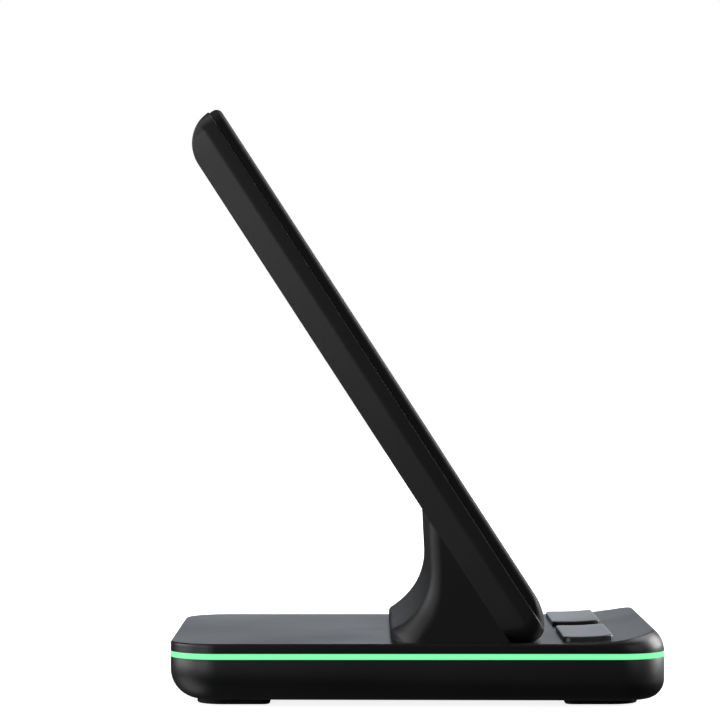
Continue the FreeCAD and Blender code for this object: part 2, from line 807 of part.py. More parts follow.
def main_board():
    """Circuit board of the base with its larger components and the header for the column's wiring."""
    low = (board_low_x, -board_width / 2)
    high = (board_high_x, board_width / 2)
    board = rounded_block(low, high, board_corner, board_bottom, board_top)
    holes = []
    for post in board_posts:
        holes.append(disc(holder_peg_radius + screw_fit, V(post.x, post.y, board_bottom), board_thickness))
    parts = []
    for chip_x in chip_xs:
        chip_low = V(chip_x - chip_size / 2, -chip_size / 2, board_top)
        parts.append(Part.makeBox(chip_size, chip_size, chip_height, chip_low))
        for side in (-1, 1):
            coil_low = V(chip_x - inductor_size / 2, side * inductor_y - inductor_size / 2, board_top)
            parts.append(Part.makeBox(inductor_size, inductor_size, inductor_height, coil_low))
    header_low = V(harness_x - header_length / 2, -header_width / 2, board_top)
    parts.append(Part.makeBox(header_length, header_width, header_height, header_low))
    return board.cut(holes).fuse(parts).removeSplitter()


def light_ring():
    """Clear light guide all round the base: a visible strip with a flange held by both mouldings."""
    strip = base_outline(0, ring_low, ring_high).cut(base_outline(ring_depth, ring_low, ring_high))
    flange = base_outline(flange_outer, flange_low, flange_high)
    flange = flange.cut(base_outline(ring_depth, flange_low, flange_high))
    return strip.fuse(flange).removeSplitter()


def led_strip():
    """Thin flexible circuit behind the lamps, running round inside the light ring."""
    outer = ring_depth + lamp_depth
    low = ring_middle - strip_height / 2
    high = ring_middle + strip_height / 2
    return base_outline(outer, low, high).cut(base_outline(outer + strip_thickness, low, high))


def spread(count, half_span):
    """Evenly spaced places between the two ends of a span, ends included."""
    return [half_span * (2 * index / (count - 1) - 1) for index in range(count)]


def led_lamps():
    """Small lamps between the circuit and the light ring, on all four sides."""
    low = ring_middle - lamp_height / 2
    group = []
    for x in spread(lamps_along, half_length - base_corner - lamp_length):
        for y in (ring_depth - half_width, half_width - ring_depth - lamp_depth):
            group.append(Part.makeBox(lamp_length, lamp_depth, lamp_height, V(x - lamp_length / 2, y, low)))
    for y in spread(lamps_across, half_width - base_corner - lamp_length):
        for x in (ring_depth - half_length, half_length - ring_depth - lamp_depth):
            group.append(Part.makeBox(lamp_depth, lamp_length, lamp_height, V(x, y - lamp_length / 2, low)))
    return Part.makeCompound(group)


def top_profile(rise, bottom):
    """Side view of the base top: level, a long concave sweep up, and a rounded nose, lifted by rise."""
    run = sweep_end - sweep_start
    run_middle = run / 2
    lift = sweep_radius - math.sqrt(sweep_radius ** 2 - run ** 2)
    lift_middle = sweep_radius - math.sqrt(sweep_radius ** 2 - run_middle ** 2)
    level = base_top + rise
    crest = V(sweep_end, 0, level + lift)
    toe = V(half_length, 0, ring_high)
    sweep = (V(sweep_start, 0, level), V(sweep_start + run_middle, 0, level + lift_middle), crest)
    across = toe - crest
    outward = V(-across.z, 0, across.x).normalize()
    nose = (crest, (crest + toe) * 0.5 + outward * nose_bulge, toe)
    rear = -half_length - spare
    face = profile_face([V(rear, 0, bottom), V(rear, 0, level), sweep, nose, V(half_length, 0, bottom)])
    face.translate(V(0, -half_width - spare, 0))
    return face.extrude(V(0, base_width + 2 * spare, 0))


def pad_outline(side, grow, bottom, top):
    """Plan of one rest pad, grown by grow."""
    near = side * pad_inner_y
    far = side * pad_outer_y
    low = (pad_rear - grow, min(near, far) - grow)
    high = (pad_rear + pad_length + grow, max(near, far) + grow)
    return rounded_block(low, high, pad_corner + grow, bottom, top)


def rest_pad(side):
    """Soft pad that takes the lower edge of what leans on the panel, following the swept top."""
    block = pad_outline(side, 0, base_top - pad_seat, base_length)
    block = block.common(top_profile(pad_proud, ring_low))
    upper = [edge for edge in block.Edges if edge.BoundBox.ZMin > base_top + pad_proud / 2]
    return block.makeFillet(pad_edge_radius, upper)


def top_cover():
    """Upper moulding of the base: level rear, swept front lip, ring groove, bosses and posts."""
    cover = top_profile(0, ring_high).common(base_outline(0, ring_high, base_length))
    rim = []
    for edge in cover.Edges:
        box = edge.BoundBox
        crosses = box.YLength > base_width / 2 and box.XMax > sweep_start - spare
        if box.ZMin > base_top - spare / 2 and not crosses:
            rim.append(edge)
    cover = cover.makeFillet(cover_edge_radius, rim)
    groove_top = flange_high + slip_fit
    groove = base_outline(flange_outer - slip_fit, ring_high - spare, groove_top)
    groove = groove.cut(base_outline(ring_depth + slip_fit, ring_high - spare, groove_top))
    inside = base_outline(flange_outer - slip_fit, ring_high - spare, cover_underside)
    cover = cover.cut([groove, inside])
    additions = []
    cuts = []
    for centre in foot_centres:
        low = V(centre.x, centre.y, boss_top)
        additions.append(disc(cover_boss_radius, low, cover_underside - boss_top))
        cuts.append(disc(base_screw_radius + screw_fit, low, cover_underside - boss_top))
    for peg in base_pegs:
        post_low = base_holder_low + base_holder_thickness
        additions.append(disc(holder_post_radius, V(peg.x, peg.y, post_low), cover_underside - post_low))
        peg_low = base_holder_low - peg_head
        additions.append(disc(holder_peg_radius, V(peg.x, peg.y, peg_low), cover_underside - peg_low))
    for place in column_screw_places:
        cuts.append(disc(column_screw_radius + screw_fit, place - UP * 2 * cover_roof, 3 * cover_roof))
    cuts.append(disc(harness_hole, V(harness_x, 0, base_top - 2 * cover_roof), 3 * cover_roof))
    for side in (-1, 1):
        cuts.append(pad_outline(side, slip_fit, base_top - pad_seat, base_length))
    return cover.fuse(additions).cut(cuts).removeSplitter()


def base_screws():
    """Four screws under the feet, up through the bottom shell into the cover."""
    group = []
    for centre in foot_centres:
        seat = V(centre.x, centre.y, screw_seat_z)
        head = (base_screw_head_radius, base_screw_head_height)
        group.append(screw(seat, base_screw_radius, base_screw_reach, *head))
    return Part.makeCompound(group)


def base_coil_parts():
    """Coil, ferrite sheet and holder plate hung under the flat rear of the cover."""
    centre = V(base_coil_x, 0, 0)
    half = base_holder_size / 2
    low = (base_coil_x - half, -half)
    high = (base_coil_x + half, half)
    coil = ring(base_coil_outer, base_coil_inner, centre + UP * base_coil_low, base_coil_thickness)
    ferrite = disc(base_ferrite_radius, centre + UP * base_ferrite_low, base_ferrite_thickness)
    holder = holder_plate(low, high, base_holder_corner, base_holder_thickness, base_holder_low, base_pegs)
    return coil, ferrite, holder


def build():
    """Every piece by its node name, in place."""
    nodes = {
        "bottom_shell": bottom_shell(),
        "top_cover": top_cover(),
        "light_ring": light_ring(),
        "led_strip": led_strip(),
        "led_lamps": led_lamps(),
        "base_screws": base_screws(),
        "main_board": main_board(),
        "usb_c_socket": usb_c_socket(),
        "column": column(),
        "column_screws": column_screws(),
        "stand_harness": stand_harness(),
        "rest_pad_left": rest_pad(1),
        "rest_pad_right": rest_pad(-1),
    }
    for centre in foot_centres:
        end = "front" if centre.x > 0 else "rear"
        hand = "left" if centre.y > 0 else "right"
        nodes[f"foot_{end}_{hand}"] = foot(centre)
    coil, ferrite, holder = base_coil_parts()
    nodes["base_coil"] = coil
    nodes["base_coil_ferrite"] = ferrite
    nodes["base_coil_holder"] = holder
    envelope = panel_envelope()
    coil, ferrite, holder = panel_coil_parts()
    sloping = {
        "panel_rear_shell": panel_rear_shell(envelope),
        "panel_front_cover": panel_front_cover(envelope),
        "panel_coil": coil,
        "panel_coil_ferrite": ferrite,
        "panel_coil_holder": holder,
        "panel_board": panel_board(),
        "panel_screws": panel_screws(),
    }
    sloping.update(puck_parts())
    for name, shape in sloping.items():
        nodes[name] = on_slope(shape)
    return nodes


os.makedirs("parts", exist_ok=True)
for node, solid in build().items():
    solid.exportStep(f"parts/{node}.step")
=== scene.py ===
import bpy
import numpy as np
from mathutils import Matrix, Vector


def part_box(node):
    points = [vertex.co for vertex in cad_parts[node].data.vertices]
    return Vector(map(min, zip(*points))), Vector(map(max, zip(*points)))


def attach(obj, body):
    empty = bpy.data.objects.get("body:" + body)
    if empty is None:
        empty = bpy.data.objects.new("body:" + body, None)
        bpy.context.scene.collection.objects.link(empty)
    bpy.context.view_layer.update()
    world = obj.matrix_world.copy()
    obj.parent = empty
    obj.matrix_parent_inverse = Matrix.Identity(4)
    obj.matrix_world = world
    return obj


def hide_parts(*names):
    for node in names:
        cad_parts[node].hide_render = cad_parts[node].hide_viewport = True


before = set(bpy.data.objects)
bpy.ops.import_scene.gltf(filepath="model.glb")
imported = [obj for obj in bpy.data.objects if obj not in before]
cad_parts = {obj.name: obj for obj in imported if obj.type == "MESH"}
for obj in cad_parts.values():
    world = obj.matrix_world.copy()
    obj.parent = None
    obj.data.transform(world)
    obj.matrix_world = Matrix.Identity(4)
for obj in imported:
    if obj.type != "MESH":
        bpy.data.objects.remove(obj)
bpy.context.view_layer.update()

# Base tub: the lower half of the stand, one injection moulding in matte black ABS with a fine
# spark-eroded skin. Its bottom edge is rolled under, and four screws under the feet hold it to the lid.
mm = 0.001
tub_low, tub_high = np.array(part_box("bottom_shell")) / mm
base_corner = 10.5
tub_roll_rear = 6.7
tub_roll_front = 4.3
tub_wall = 2.0
tub_floor = 1.8
tub_rim_round = 0.25
ring_seat_inset = 1.05
ring_seat_depth = 0.97
underside_ring = 14.0
arc_points = 15
side_points = 34
smallest_corner = 0.3
crease_angle = np.radians(38)
inlet_low, inlet_high = np.array(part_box("usb_c_socket")) / mm
inlet_clearance = 0.15
inlet_flat = 0.35
inlet_chamfer = 0.45


def outline(low, high, corner):
    """Rounded rectangle as one closed loop, anticlockwise: a quarter circle at each corner about a
    centre set in by its radius, then evenly spaced points along the straight side that follows."""
    low, high = np.asarray(low, float), np.asarray(high, float)
    radius = np.broadcast_to(corner, 4).astype(float)
    signs = np.array([(1, 1), (-1, 1), (-1, -1), (1, -1)])
    centres = np.where(signs > 0, high, low) - signs * radius[:, None]
    turn = np.linspace(0, np.pi / 2, arc_points) + np.arange(4)[:, None] * np.pi / 2
    arcs = centres[:, None] + radius[:, None, None] * np.stack([np.cos(turn), np.sin(turn)], axis=2)
    share = np.linspace(0, 1, side_points)[None, 1:-1, None]
    sides = arcs[:, -1:] * (1 - share) + np.roll(arcs[:, :1], -1, axis=0) * share
    return np.concatenate([arcs, sides], axis=1).reshape(-1, 2)


def raised(loop, height):
    """A flat loop lifted to a height, or to one height for each of its points."""
    return np.column_stack([loop, np.broadcast_to(height, len(loop))])


def stacked(low, high, corner, profile):
    """Stack of rounded rectangles: each step of the profile says how far the outline is drawn in on
    all sides, its corners tightening by as much, and how high it lies."""
    low, high = np.asarray(low, float), np.asarray(high, float)
    rows = [raised(outline(low + inset, high - inset, np.maximum(corner - inset, smallest_corner)), height)
            for inset, height in profile]
    return np.array(rows)


def quarter_round(radius, steps):
    """Steps of a quarter circle as (in, up) pairs, from the tangent below to the tangent beside it:
    in falls from the radius to nothing by 1 - sin, up rises from nothing to the radius by 1 - cos."""
    turn = np.linspace(0, np.pi / 2, steps)
    return np.column_stack([radius * (1 - np.sin(turn)), radius * (1 - np.cos(turn))])


def skin(name, rows, closed=False):
    """Mesh of a stack of closed loops, in millimetres: quads join each loop to the next one. Where
    the stack isn't closed on itself, a fan of triangles closes each end at its loop's mean point."""
    rows = np.asarray(rows, float)
    count, width = rows.shape[:2]
    grid = np.arange(count * width).reshape(count, width)
    below = grid if closed else grid[:-1]
    above = np.roll(grid, -1, axis=0) if closed else grid[1:]
    quads = np.stack([below, np.roll(below, -1, axis=1), np.roll(above, -1, axis=1), above], axis=2)
    points = rows.reshape(-1, 3)
    faces = quads.reshape(-1, 4).tolist()
    if not closed:
        points = np.vstack([points, rows[0].mean(axis=0), rows[-1].mean(axis=0)])
        first, last = grid[0], grid[-1]
        start = np.full(width, count * width)
        faces += np.stack([start, np.roll(first, -1), first], axis=1).tolist()
        faces += np.stack([start + 1, last, np.roll(last, -1)], axis=1).tolist()
    mesh = bpy.data.meshes.new(name)
    mesh.from_pydata((points * mm).tolist(), [], faces)
    mesh.validate()
    return mesh


def fit_piece(name, mesh, material, slot, *nodes):
    """Adds a finished mesh to the stand, smooth but for its real edges, in place of the frame's nodes."""
    mesh.polygons.foreach_set("use_smooth", np.ones(len(mesh.polygons), bool))
    mesh.set_sharp_from_angle(angle=crease_angle)
    piece = bpy.data.objects.new(name, mesh)
    bpy.context.scene.collection.objects.link(piece)
    mesh.materials.append(material)
    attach(piece, "root")
    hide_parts(*nodes)
    return piece


def new_group(name, inputs, outputs):
    """Empty shader group with named sockets; an input is (kind, name, start value)."""
    group = bpy.data.node_groups.new(name, "ShaderNodeTree")
    for kind, label, value in inputs:
        socket = group.interface.new_socket(label, in_out="INPUT", socket_type=kind)
        socket.default_value = value
    for kind, label in outputs:
        group.interface.new_socket(label, in_out="OUTPUT", socket_type=kind)
    return group, group.nodes.new("NodeGroupInput"), group.nodes.new("NodeGroupOutput")


def math_node(tree, operation, first, second):
    """A math node; each side is a socket or a plain number."""
    node = tree.nodes.new("ShaderNodeMath")
    node.operation = operation
    for index, value in enumerate((first, second)):
        if isinstance(value, (int, float)):
            node.inputs[index].default_value = value
        else:
            tree.links.new(value, node.inputs[index])
    return node.outputs[0]


def noise_node(tree, place, scale, detail):
    """Noise over the piece's own coordinates, read as a value about one half."""
    node = tree.nodes.new("ShaderNodeTexNoise")
    node.inputs["Detail"].default_value = detail
    tree.links.new(place, node.inputs["Vector"])
    if isinstance(scale, (int, float)):
        node.inputs["Scale"].default_value = scale
    else:
        tree.links.new(scale, node.inputs["Scale"])
    return node.outputs["Fac"]


def mix_node(tree, share, first, second):
    """Colour mix by a share; each side is a socket or a plain colour."""
    node = tree.nodes.new("ShaderNodeMix")
    node.data_type = "RGBA"
    tree.links.new(share, node.inputs["Factor"])
    for label, value in ((6, first), (7, second)):
        if isinstance(value, tuple):
            node.inputs[label].default_value = value
        else:
            tree.links.new(value, node.inputs[label])
    return node.outputs[2]


# The moulded skin shows pebbles of the eroded tool, with pits between them, and slow cloudy changes of
# gloss where the melt cooled unevenly.
cell_depth = -0.55
grain_inputs = [
    ("NodeSocketVector", "Place", (0, 0, 0)),
    ("NodeSocketFloat", "Pebbles", 2600.0),
    ("NodeSocketFloat", "Clouds", 45.0),
]
grain_outputs = [("NodeSocketFloat", "Relief"), ("NodeSocketFloat", "Cloud")]
grain_group, grain_in, grain_out = new_group("moulded_skin", grain_inputs, grain_outputs)
pebble = noise_node(grain_group, grain_in.outputs["Place"], grain_in.outputs["Pebbles"], 2.0)
cells = grain_group.nodes.new("ShaderNodeTexVoronoi")
cells.feature = "SMOOTH_F1"
grain_group.links.new(grain_in.outputs["Place"], cells.inputs["Vector"])
grain_group.links.new(grain_in.outputs["Pebbles"], cells.inputs["Scale"])
pits = math_node(grain_group, "MULTIPLY", cells.outputs["Distance"], cell_depth)
relief = math_node(grain_group, "ADD", pebble, pits)
cloud = noise_node(grain_group, grain_in.outputs["Place"], grain_in.outputs["Clouds"], 4.0)
grain_group.links.new(relief, grain_out.inputs["Relief"])
grain_group.links.new(cloud, grain_out.inputs["Cloud"])

# Dust settles as a thin pale film, only where the surface faces up. It is broken into specks and drifts,
# and dulls the gloss where it lies.
dust_tone = (0.34, 0.33, 0.32, 1)
dust_dulls = 0.5
dust_inputs = [
    ("NodeSocketVector", "Place", (0, 0, 0)),
    ("NodeSocketVector", "Facing", (0, 0, 1)),
    ("NodeSocketFloat", "Amount", 0.1),
]
dust_group, dust_in, dust_out = new_group("settled_dust", dust_inputs, [("NodeSocketFloat", "Film")])
facing = dust_group.nodes.new("ShaderNodeSeparateXYZ")
dust_group.links.new(dust_in.outputs["Facing"], facing.inputs[0])
upward = math_node(dust_group, "MAXIMUM", facing.outputs["Z"], 0.0)
specks = noise_node(dust_group, dust_in.outputs["Place"], 900.0, 3.0)
drifts = noise_node(dust_group, dust_in.outputs["Place"], 60.0, 2.0)
film = math_node(dust_group, "MULTIPLY", math_node(dust_group, "MULTIPLY", specks, drifts), upward)
film = math_node(dust_group, "MULTIPLY", film, dust_in.outputs["Amount"])
dust_group.links.new(film, dust_out.inputs["Film"])


def new_material(name):
    """Material with its Principled shader, and the piece's own coordinates and normal to work from."""
    material = bpy.data.materials.new(name)
    material.use_nodes = True
    tree = material.node_tree
    shader = tree.nodes["Principled BSDF"]
    place = tree.nodes.new("ShaderNodeTexCoord")
    return material, tree, shader, place


def add_bump(tree, shader, height, depth):
    """Relief of the given depth in millimetres, from a height value to the shader's normal."""
    bump = tree.nodes.new("ShaderNodeBump")
    bump.inputs["Distance"].default_value = depth * mm
    bump.inputs["Strength"].default_value = 1.0
    tree.links.new(height, bump.inputs["Height"])
    tree.links.new(bump.outputs["Normal"], shader.inputs["Normal"])


def moulded_plastic(name, dark, pale, gloss, pebbles, depth, dust, shine=0.5):
    """Moulded plastic: two close tones and a roughness range (gloss) that follow slow clouds, a pebble
    relief, a film of dust on what faces up, and a share of mirror light (shine)."""
    material, tree, shader, place = new_material(name)
    grain = tree.nodes.new("ShaderNodeGroup")
    grain.node_tree = grain_group
    grain.inputs["Pebbles"].default_value = pebbles
    tree.links.new(place.outputs["Object"], grain.inputs["Place"])
    film = tree.nodes.new("ShaderNodeGroup")
    film.node_tree = dust_group
    film.inputs["Amount"].default_value = dust
    tree.links.new(place.outputs["Object"], film.inputs["Place"])
    tree.links.new(place.outputs["Normal"], film.inputs["Facing"])
    tone = mix_node(tree, grain.outputs["Cloud"], (*dark, 1), (*pale, 1))
    dusty = mix_node(tree, film.outputs["Film"], tone, dust_tone)
    tree.links.new(dusty, shader.inputs["Base Color"])
    spread = math_node(tree, "MULTIPLY", grain.outputs["Cloud"], gloss[1] - gloss[0])
    rough = math_node(tree, "ADD", spread, gloss[0])
    rough = math_node(tree, "ADD", rough, math_node(tree, "MULTIPLY", film.outputs["Film"], dust_dulls))
    tree.links.new(rough, shader.inputs["Roughness"])
    shader.inputs["Specular IOR Level"].default_value = shine
    add_bump(tree, shader, grain.outputs["Relief"], depth)
    return material


tub_plastic = moulded_plastic(
    "tub_plastic", dark=(0.0040, 0.0042, 0.0046), pale=(0.0068, 0.0070, 0.0076), gloss=(0.36, 0.46),
    pebbles=2600.0, depth=0.010, dust=0.06,
)
base_low, base_high = tub_low[:2], tub_high[:2]
tub_bottom, rim = tub_low[2], tub_high[2]
inside_floor = tub_bottom + tub_floor
rear_roll = stacked(base_low, base_high, base_corner, quarter_round(tub_roll_rear, 14) + (0, tub_bottom))
front_roll = stacked(base_low, base_high, base_corner, quarter_round(tub_roll_front, 14) + (0, tub_bottom))
to_front = (rear_roll[-1, :, :1] - tub_low[0]) / (tub_high[0] - tub_low[0])
under_roll = rear_roll * (1 - to_front) + front_roll * to_front
rim_mid = 0.3 * tub_rim_round
rim_round = np.array([(0, rim - tub_rim_round), (rim_mid, rim - rim_mid), (tub_rim_round, rim)])
seat_floor = rim - ring_seat_depth
seat = np.array([(ring_seat_inset, rim), (ring_seat_inset, seat_floor), (tub_wall, seat_floor)])
inner_roll = quarter_round(tub_roll_rear - tub_wall, 8)[::-1] + (tub_wall, inside_floor)
tub_underside = stacked(base_low, base_high, base_corner, [(tub_roll_rear + underside_ring, tub_bottom)])
tub_inside = stacked(base_low, base_high, base_corner, np.vstack([rim_round, seat, inner_roll]))
tub_mesh = skin("base_tub", np.concatenate([tub_underside, under_roll, tub_inside]))
inlet_grow = np.array([inlet_chamfer * 2, inlet_chamfer, 0, 0]) + inlet_clearance
inlet_x = tub_low[0] + np.array([-inlet_chamfer, 0, inlet_chamfer, 2 * tub_wall])
inlet_profile = np.column_stack([-inlet_grow, inlet_x])
inlet_corner = (inlet_high[2] - inlet_low[2]) / 2 - inlet_flat
inlet_rows = stacked(inlet_low[1:], inlet_high[1:], inlet_corner, inlet_profile)[..., [2, 0, 1]]
inlet_tool = bpy.data.objects.new("inlet_tool", skin("inlet_tool", inlet_rows))
bpy.context.scene.collection.objects.link(inlet_tool)
base_tub = fit_piece("base_tub", tub_mesh, tub_plastic, "shell_plastic", "bottom_shell")


def cut_away(piece, tool):
    """Takes a tool's volume out of a piece, keeps the result as the piece's mesh and drops the tool."""
    cut = piece.modifiers.new("cut", "BOOLEAN")
    cut.object = tool
    cut.solver = "EXACT"
    shape = piece.evaluated_get(bpy.context.evaluated_depsgraph_get())
    piece.data = bpy.data.meshes.new_from_object(shape)
    piece.modifiers.clear()
    bpy.data.objects.remove(tool)
    piece.data.polygons.foreach_set("use_smooth", np.ones(len(piece.data.polygons), bool))
    piece.data.set_sharp_from_angle(angle=crease_angle)


cut_away(base_tub, inlet_tool)

# Feet: four die-cut pads of grey-black rubber, pressed into recesses under the tub, where they hide
# the screws. The corner nearest to the base's own corner is rounder, and the ground edge is eased.
foot_corner = 2.0
foot_outer_corner = 6.0
foot_edge = 0.4
foot_rubber = moulded_plastic(
    "foot_rubber", dark=(0.003, 0.003, 0.003), pale=(0.007, 0.007, 0.007), gloss=(0.60, 0.75),
    pebbles=1500.0, depth=0.020, dust=0.05, shine=0.15,
)
for foot_name in ("foot_rear_left", "foot_rear_right", "foot_front_left", "foot_front_right"):
    foot_low, foot_high = np.array(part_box(foot_name)) / mm
    foot_middle = (foot_low + foot_high) / 2
    corner_sides = np.array([(1, 1), (-1, 1), (-1, -1), (1, -1)])
    outermost = (corner_sides * foot_middle[:2] > 0).all(axis=1)
    foot_corners = np.where(outermost, foot_outer_corner, foot_corner)
    foot_profile = np.vstack([quarter_round(foot_edge, 6) + (0, foot_low[2]), [(0, foot_high[2])]])
    foot_rows = stacked(foot_low[:2], foot_high[:2], foot_corners, foot_profile)
    fit_piece(foot_name + "_pad", skin(foot_name + "_pad", foot_rows), foot_rubber, "foot_rubber", foot_name)

# Light ring: a strip of opal acrylic clamped by its flange between tub and lid, all round the base.
# Green lamps behind it fill it evenly, a little paler along its middle, where it is thickest.
ring_low, ring_high = np.array(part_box("light_ring")) / mm
strip_low = rim
strip_height = 1.27
strip_high = strip_low + strip_height
ring_depth = 2.2
flange_inset = 1.2
strip_edge = 0.06
strip_core = (0.255, 1.0, 0.475, 1)
strip_margin = (0.170, 0.97, 0.375, 1)
strip_body = (0.02, 0.05, 0.03, 1)
ring_profile = np.array([
    (strip_edge, strip_low), (0, strip_low + strip_edge),
    (0, strip_high - strip_edge), (strip_edge, strip_high),
    (flange_inset, strip_high), (flange_inset, ring_high[2]), (ring_depth, ring_high[2]),
    (ring_depth, ring_low[2]), (flange_inset, ring_low[2]), (flange_inset, strip_low),
])
opal_light, light_tree, light_shader, light_place = new_material("opal_light")
light_split = light_tree.nodes.new("ShaderNodeSeparateXYZ")
light_tree.links.new(light_place.outputs["Object"], light_split.inputs[0])
strip_middle = (strip_low + strip_high) / 2 * mm
from_middle = math_node(light_tree, "SUBTRACT", light_split.outputs["Z"], strip_middle)
from_middle = math_node(light_tree, "ABSOLUTE", from_middle, 0.0)
edge_share = math_node(light_tree, "MULTIPLY", from_middle, 1 / (strip_high - strip_low) / mm)
haze = noise_node(light_tree, light_place.outputs["Object"], 220.0, 2.0)
edge_share = math_node(light_tree, "ADD", edge_share, math_node(light_tree, "MULTIPLY", haze, 0.25))
glow = mix_node(light_tree, edge_share, strip_core, strip_margin)
light_tree.links.new(glow, light_shader.inputs["Emission Color"])
light_shader.inputs["Emission Strength"].default_value = 1.0
light_shader.inputs["Base Color"].default_value = strip_body
light_rough = math_node(light_tree, "ADD", math_node(light_tree, "MULTIPLY", haze, 0.2), 0.35)
light_tree.links.new(light_rough, light_shader.inputs["Roughness"])
ring_rows = stacked(base_low, base_high, base_corner, ring_profile)
fit_piece("opal_ring", skin("opal_ring", ring_rows, closed=True), opal_light, "light_guide", "light_ring")

# Base lid: the upper half of the stand, moulded with the tub's texture. It is level at the rear, sweeps
# up gently towards the front and rolls over a rounded nose down to the light ring.
half_length = tub_high[0]
lid_level = 14.1
lid_edge = 0.5
lid_step = 0.12
lid_underside = 12.3
nose_length = 18.0
sweep_length = 19.5
nose_start = half_length - nose_length
nose_radius = 4.45
crest_edge = 0.7
crest_turn = np.radians(57.0)
nose_turn = np.concatenate([np.linspace(0, crest_turn, 8)[:-1], np.linspace(crest_turn, np.pi / 2, 7)])
on_nose = np.minimum(nose_turn, crest_turn)
nose_in = nose_radius * (1 - np.cos(on_nose)) + crest_edge * (np.cos(on_nose) - np.cos(nose_turn))
nose_up = nose_radius * np.sin(on_nose) + crest_edge * (np.sin(nose_turn) - np.sin(on_nose))
sweep_start = half_length - sweep_length
sweep_end = half_length - nose_in[-1]
sweep_radius = 63.0


def lid_top(x):
    """Height of the lid along the base: level, then a large circle that starts level and curves up."""
    run = np.clip(x - sweep_start, 0, sweep_end - sweep_start)
    return lid_level + sweep_radius - np.sqrt(sweep_radius ** 2 - run ** 2)


lid_plastic = moulded_plastic(
    "lid_plastic", dark=(0.0042, 0.0044, 0.0048), pale=(0.0070, 0.0072, 0.0078), gloss=(0.31, 0.41),
    pebbles=2600.0, depth=0.010, dust=0.10,
)
lid_start = [(ring_seat_inset, lid_underside), (ring_seat_inset, strip_high), (lid_step, strip_high)]
lid_rows = list(stacked(base_low, base_high, base_corner, lid_start))
wall_loop = outline(base_low, base_high, base_corner)
inward = outline(base_low + 1, base_high - 1, base_corner - 1) - wall_loop
ahead = np.clip((wall_loop[:, :1] - nose_start) / (half_length - nose_start), 0, 1)
ahead = ahead ** 2 * (3 - 2 * ahead)
edge_in, edge_drop = quarter_round(lid_edge, 10)[::-1].T
wall_drops = np.array([1, 0.8, 0.6, 0.4])
side_in = np.concatenate([0 * wall_drops, edge_in])
side_drop = np.concatenate([wall_drops, edge_drop / (lid_level - strip_high)])
lid_insets = side_in * (1 - ahead) + nose_in * ahead
lid_drops = side_drop * (1 - ahead) + (1 - nose_up / nose_up[-1]) * ahead
crest_loop = wall_loop + inward * lid_insets[:, -1:]
crest_height = lid_top(crest_loop[:, 0])
for inset, drop in zip(lid_insets.T, lid_drops.T):
    wall_height = crest_height - (crest_height - strip_high) * drop
    lid_rows.append(raised(wall_loop + inward * inset[:, None], wall_height))
lid_shares = np.concatenate([[0.992, 0.98, 0.965, 0.945], np.linspace(0.92, 0.02, 24)])
for share in lid_shares:
    lid_rows.append(raised(crest_loop * share, lid_top(crest_loop[:, 0] * share)))
fit_piece("base_lid", skin("base_lid", lid_rows), lid_plastic, "cover_plastic", "top_cover")

# Rest pads: two moulded silicone strips set into shallow pockets of the lid, just in front of the
# panel. They follow the lid's sweep and stop a handset from sliding.
pad_corner = 1.8
pad_edge = 0.4
pad_proud = 1.1
pad_silicone = moulded_plastic(
    "pad_silicone", dark=(0.030, 0.030, 0.032), pale=(0.042, 0.042, 0.045), gloss=(0.26, 0.34),
    pebbles=1900.0, depth=0.006, dust=0.16,
)
for pad_name in ("rest_pad_left", "rest_pad_right"):
    pad_low, pad_high = np.array(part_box(pad_name)) / mm
    pad_middle = (pad_low + pad_high)[:2] / 2
    pad_rows = list(stacked(pad_low[:2], pad_high[:2], pad_corner, [(0, pad_low[2])]))
    for inset, drop in quarter_round(pad_edge, 7)[::-1]:
        edge_loop = outline(pad_low[:2] + inset, pad_high[:2] - inset, pad_corner - inset)
        pad_rows.append(raised(edge_loop, lid_top(edge_loop[:, 0]) + pad_proud - drop))
    for share in np.linspace(0.9, 0.05, 8):
        within = pad_middle + (edge_loop - pad_middle) * share
        pad_rows.append(raised(within, lid_top(within[:, 0]) + pad_proud))
    pad_mesh = skin(pad_name + "_strip", pad_rows)
    fit_piece(pad_name + "_strip", pad_mesh, pad_silicone, "pad_silicone", pad_name)

# Column: a hollow moulding that carries the panel. Its back stands almost upright, then sweeps out to a
# low rim on the lid, its rear edges are rounded, and screws from below and from the panel hold it.
lean = np.radians(33.0)
panel_back = 24.55
column_low, column_high = np.array(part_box("column")) / mm
column_half = column_high[1]
column_lean = np.radians(2.8)
column_sweep = 14.6
column_edge = 2.6
column_foot_edge = 4.5
column_rim_round = 1.0
column_corner = 7.0
column_bury = 0.3
column_skirt = 0.3
waist_in = 8.62
waist_rise = 16.4
foot_edge_rise = 3.0
waist_edge_fall = 2.0
sweep_first = 0.2
sweep_spread = 1.1
waist_out = np.array([np.cos(column_lean), np.sin(column_lean)])
waist = np.array([column_low[0] + waist_in, lid_level + waist_rise])
sweep_centre = waist - column_sweep * waist_out


def column_back(height, inset):
    """Where the column's back lies at a height, drawn in by an inset: on the rim's wall, on a small
    circle over the rim, on the sweep's circle, or on a line that leans back above the waist."""
    grown = column_sweep + inset
    reach = np.maximum(inset, column_rim_round)
    rim_x = column_low[0] + reach
    to_sweep = np.sqrt((column_sweep + reach) ** 2 - (rim_x - sweep_centre[0]) ** 2)
    rim_z = sweep_centre[1] - to_sweep
    rolled = reach - inset
    rim_end = rim_z + rolled * to_sweep / (column_sweep + reach)
    over_rim = rim_x - np.sqrt(np.maximum(rolled ** 2 - np.maximum(height - rim_z, 0) ** 2, 0))
    swept = sweep_centre[0] + np.sqrt(np.maximum(grown ** 2 - (height - sweep_centre[1]) ** 2, 0))
    above = height - sweep_centre[1] - grown * waist_out[1]
    upright = sweep_centre[0] + grown * waist_out[0] - above * np.tan(column_lean)
    return np.where(above > 0, upright, np.where(height < rim_end, over_rim, swept))


